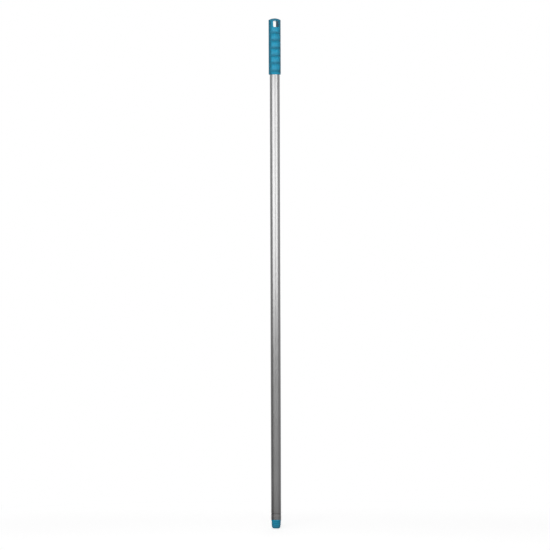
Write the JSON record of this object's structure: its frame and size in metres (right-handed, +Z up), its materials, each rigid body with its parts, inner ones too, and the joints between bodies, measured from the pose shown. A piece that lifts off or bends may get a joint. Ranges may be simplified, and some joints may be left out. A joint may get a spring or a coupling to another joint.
{
  "type": "pole handle",
  "caption": "Rigid aluminium pole handle with a plastic hand grip that has finger hollows and a hanging slot, and a plastic screw end for a boat hook, brush or mop head.",
  "frame": {"origin": "centre of the flat tip of the screw end", "axes": "+Z up along the pole towards the grip, +Y through the hanging slot from front to back, +X across the slot"},
  "size_m": [0.0308, 0.0308, 1.3],
  "materials": {
    "anodised_aluminium": "satin anodised",
    "teal_plastic": "fine moulded texture",
    "grey_plastic": "plain moulded"
  },
  "bodies": {
    "root": {"pole_tube": "anodised_aluminium", "hand_grip": "teal_plastic", "thread_insert": "teal_plastic", "tube_plug": "grey_plastic"}
  },
  "joints": []
}
